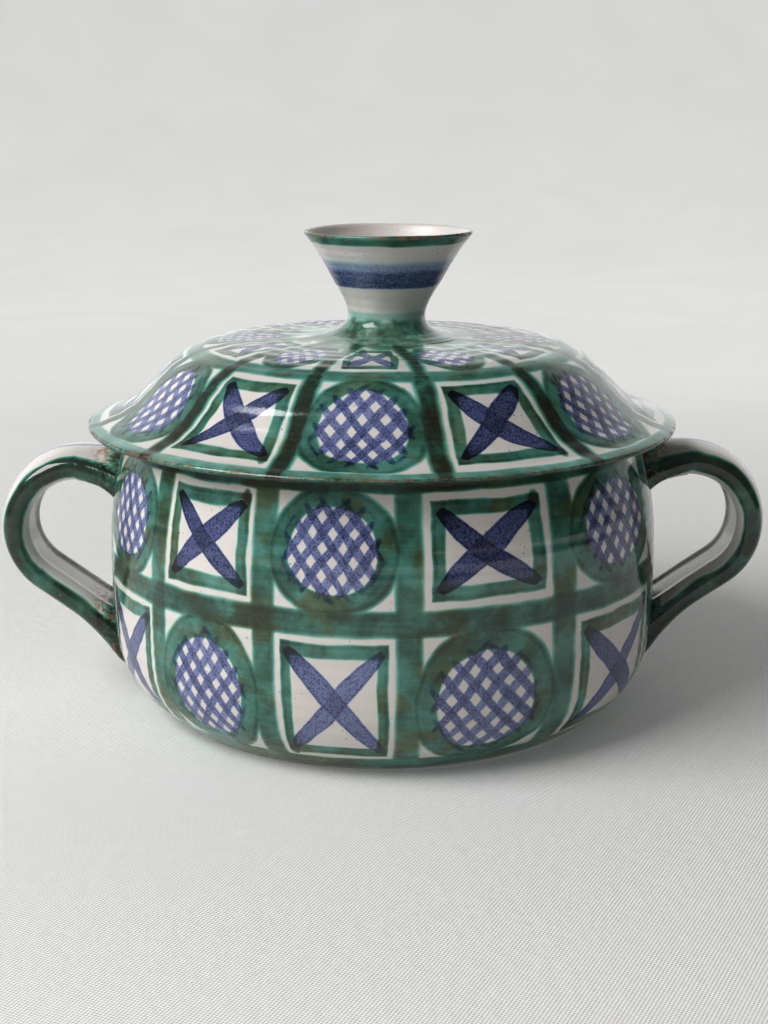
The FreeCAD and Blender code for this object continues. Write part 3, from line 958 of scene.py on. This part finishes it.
def knob_material():
    """A green lip and foot and a blue band between, paler in its upper part. Plain white inside."""
    glaze = Glaze("knob_painted_glaze", seed=2)
    run = glaze.attribute("run")
    waver, ripple = glaze.shake(12.0, 0.8)
    course = glaze.z + waver * 0.5
    lip = run_where(KNOB_OUTLINE, RADIUS, 37.3)
    outside = run.below(lip + 1.4, 0.5)
    rim = (course + ripple * 0.4).above(KNOB_TOP - 4.3, 0.7) * outside
    cream = glaze.noise(5.0, detail=3.0).above(0.50, 0.10) * course.below(176.0, 1.0)
    foot = course.below(175.6, 1.8) * 0.85 + course.below(179.0, 0.9) * 0.16 - cream * 0.45
    band = course.above(190.2, 0.5) * course.below(201.4, 1.6)
    upper_blue = band * choose(course.below(196.0, 6.0), 0.36, 0.62)
    middle = course.above(190.4, 0.5) * course.below(197.6, 1.5)
    turned = vector(glaze.tree, glaze.x * 0.2, glaze.y * 0.2, glaze.z)
    streaks = noise_value(glaze.tree, turned, 1.1, detail=3.0)
    grains = glaze.noise(0.7, detail=2.0, roughness=0.7).above(0.60, 0.06)
    grains = grains * streaks.above(0.50, 0.12)
    blue = (upper_blue + middle * (streaks * 1.0 + grains * 1.0)) * outside
    tarnish = course.between(190.0, 203.0, 1.5) * 0.06
    flakes = glaze.noise(4.0, detail=4.0).above(0.49, 0.05) * run.between(lip - 0.2, lip + 0.9, 0.25)
    stain = (course - 170.5).size().below(1.5, 1.5) * 0.7 + flakes * 0.4
    green = larger(rim + foot * outside, 0.0) + tarnish * outside
    gloss = choose(outside, 0.34, 0.08)
    return glaze.finish(green, blue, flakes * 0.7, gloss=gloss, stain=stain, olive_share=0.5)


def handle_material():
    """Green edges round a white face with one thin blue stripe; darker, greener and browner towards the
    roots, with a little painted shade in the groove of the inner face.
    """
    glaze = Glaze("handle_painted_glaze", seed=4)
    across = glaze.attribute("across")
    outward = glaze.attribute("outward")
    gap = glaze.attribute("gap")
    wander, wander_too = glaze.shake(15.0, 1.0)
    side = across.size() + wander
    back = across.above(0.0, 1.0)
    level = outward + wander_too
    edge = side.above(10.5, 1.0) * level.below(4.4, 0.9)
    edge = edge * (level - back * 2.6).above(-3.4, 0.9)
    stripe = (across + wander).size().below(1.9, 0.7) * outward.above(0.0, 0.3)
    root = (gap + wander * 3).below(4.0, 4.0)
    dark = glaze.noise(24.0, detail=2.0).above(0.50, 0.14)
    green = union(edge, root * 0.35) * (1.35 + dark * 0.75) + root * 0.15
    groove = outward.below(0.0, 0.5) * (across.size() - 9.5 + wander).size().below(1.0, 1.0)
    chips = glaze.noise(4.0, detail=3.0).above(0.64, 0.03) * (gap + wander).below(5.0, 3.0)
    near_wall = (gap + wander_too * 4).below(9.0, 9.0)
    kiln = glaze.noise(12.0, detail=3.0, roughness=0.6).above(0.54, 0.08)
    # groove * 0.2 is painted shade in the crease of the inner face.
    stain = near_wall * 1.3 + groove * 0.2 + kiln * edge * 0.6
    return glaze.finish(green, stripe * 0.55, chips, stain=stain, olive_share=0.35)


def plain_glaze_material():
    """White glaze with no painting, wiped off the ring's foot."""
    glaze = Glaze("ring_plain_glaze", seed=5)
    none = glaze.x * 0.0
    wiped = glaze.z.below(RING_BOTTOM + 0.8, 0.4)
    return glaze.finish(none, none, wiped)


# ---- Studio ----


FLOOR_RADIUS = 1.7
SWEEP_BEND = 0.9
SWEEP_TURNS = 96
WALL_TOP = 2.8
THREAD_PITCH = 1.85
THREAD_SLANT = 0.35
LINEN_STOPS = [(0.3, (0.74, 0.73, 0.715)), (0.7, (0.845, 0.835, 0.82))]
NEAR_GLOW = 0.085
FAR_GLOW = 0.60
KEY_PLACE = (-1.27, -0.75, 1.32)
KEY_TARGET = (0, 0, 0.1)
KEY_SIZE = (1.35, 1.0)
KEY_POWER = 36
WALL_LIGHT = (1.05, 1.05, 1.04)
CAMERA_PLACE = (0.0007, -0.75, 0.273)
CAMERA_PITCH_DOWN = 0.245
CAMERA_LENS = 59.2
CAMERA_SENSOR = 36
EXPOSURE = 0.10
GAMMA = 0.86


def linen_material():
    """Off-white linen: two sets of fine threads, slightly uneven, in colour and in bump. The cloth
    glows a little near the pot, for the light of the rest of the room, and away from the pot glow
    takes the place of lit cloth, so that the floor and the wall are one even tone."""
    glaze = Glaze("studio_linen", seed=7)
    tree = glaze.tree
    drift_x, drift_y = glaze.shake(90.0, 0.4)
    thread = 2 * math.pi / THREAD_PITCH
    warp = ((glaze.x + glaze.y * THREAD_SLANT + drift_x) * thread).math("SINE")
    weft = ((glaze.y - glaze.x * THREAD_SLANT + drift_y) * thread).math("SINE")
    near = glaze.radius.below(420.0, 300.0)
    weave = warp * weft * near
    slub = glaze.noise(5.0, detail=4.0)
    # folds is the cloth's large wrinkles. Besides their bump, it lays faint painted light and shade of
    # the folds into the cloth's colour and glow.
    folds = glaze.noise(160.0, detail=3.0, distortion=1.0)
    shade = weave * 0.15 + slub * 0.20 + folds * 0.08 + 0.34
    colour = ramp(tree, shade, LINEN_STOPS)
    reach = glaze.radius * MM
    far = reach.above(0.54, 0.44)
    rise = reach.above(FLOOR_RADIUS + SWEEP_BEND / 2, SWEEP_BEND / 2)
    colour = blend(tree, "MIX", far, colour, (0, 0, 0))
    tree.links.new(colour, glaze.shader.inputs["Base Color"])
    glaze.shader.inputs["Roughness"].default_value = 0.9
    glaze.shader.inputs["Specular IOR Level"].default_value = 0.05
    glaze.shader.inputs["Emission Color"].default_value = (1.0, 1.0, 0.99, 1.0)
    glow = far * (folds * 0.06 + FAR_GLOW) - rise * 0.06 + NEAR_GLOW
    plug(tree, glow, glaze.shader.inputs["Emission Strength"])
    glaze.emboss(weave + slub * 2.0 + folds * 5.0, 0.6, 0.35 * MM)
    return glaze.material


def swept_surface(name, profile, material):
    """An open surface of revolution for the studio, from (radius, height) points in metres."""
    vertices = []
    for radius, height in profile:
        for turn in range(SWEEP_TURNS):
            angle = 2 * math.pi * turn / SWEEP_TURNS
            vertices.append((radius * math.sin(angle), radius * math.cos(angle), height))
    mesh = bpy.data.meshes.new(name)
    mesh.from_pydata(vertices, [], quads_between(len(profile), SWEEP_TURNS))
    mesh.polygons.foreach_set("use_smooth", [True] * len(mesh.polygons))
    surface = bpy.data.objects.new(name, mesh)
    bpy.context.scene.collection.objects.link(surface)
    mesh.materials.append(material)
    return surface


def make_sweep():
    """A linen floor, and a linen wall that bends up out of it all round, far from the pot. The wall
    is only seen: the world's light stands for what it throws on the pot."""
    linen = linen_material()
    floor = [(radius, 0.0) for radius in (0.001, 0.4, 0.9, 1.3, FLOOR_RADIUS)]
    swept_surface("linen_floor", floor, linen)
    wall = []
    for step in range(17):
        angle = step * math.pi / 32
        wall.append((FLOOR_RADIUS + SWEEP_BEND * math.sin(angle), SWEEP_BEND * (1 - math.cos(angle))))
    wall.append((FLOOR_RADIUS + SWEEP_BEND, WALL_TOP))
    backdrop = swept_surface("linen_wall", wall, linen)
    backdrop.visible_diffuse = False
    backdrop.visible_glossy = False
    backdrop.visible_shadow = False


def make_world():
    """Dim air with a little daylight from the left, and the light of a pale wall behind the pot."""
    world = bpy.data.worlds.new("studio_air")
    world.use_nodes = True
    tree = world.node_tree
    direction = tree.nodes.new("ShaderNodeTexCoord").outputs["Generated"]
    x, y, z = parts(tree, direction)
    left = ramp(tree, (x * -0.80 + y * -0.40 + z * 0.45) * 0.5 + 0.5,
                [(0.0, (0.02, 0.02, 0.02)), (0.5, (0.06, 0.06, 0.06)),
                 (0.75, (0.16, 0.16, 0.162)), (1.0, (0.28, 0.28, 0.285))])
    behind = y.above(0.50, 0.30) * z.below(0.50, 0.25)
    colour = blend(tree, "MIX", behind, left, WALL_LIGHT)
    background = tree.nodes["Background"]
    tree.links.new(colour, background.inputs["Color"])
    background.inputs["Strength"].default_value = 1.0
    bpy.context.scene.world = world


def make_key_light():
    """One large soft light, to the left of the camera and a good way above the lid."""
    data = bpy.data.lights.new("key_softbox", "AREA")
    data.shape = "RECTANGLE"
    data.size, data.size_y = KEY_SIZE
    data.energy = KEY_POWER
    light = bpy.data.objects.new("key_softbox", data)
    light.location = KEY_PLACE
    aim = Vector(KEY_TARGET) - Vector(KEY_PLACE)
    light.rotation_euler = aim.to_track_quat("-Z", "Y").to_euler()
    light.visible_camera = False
    bpy.context.scene.collection.objects.link(light)


def make_camera():
    """At the height and distance of someone standing at a table, a little above the lid."""
    data = bpy.data.cameras.new("camera")
    data.sensor_width = CAMERA_SENSOR
    data.lens = CAMERA_LENS
    camera = bpy.data.objects.new("camera", data)
    camera.location = CAMERA_PLACE
    camera.rotation_euler = (math.pi / 2 - CAMERA_PITCH_DOWN, 0, 0)
    bpy.context.scene.collection.objects.link(camera)
    bpy.context.scene.camera = camera


make_camera()
make_bowl()
make_handle("left_strap", "left_handle", -1)
make_handle("right_strap", "right_handle", 1)
make_lid()
make_ring()
make_knob()
make_sweep()
make_world()
make_key_light()
bpy.context.scene.view_settings.view_transform = "Standard"
bpy.context.scene.view_settings.exposure = EXPOSURE
bpy.context.scene.view_settings.gamma = GAMMA
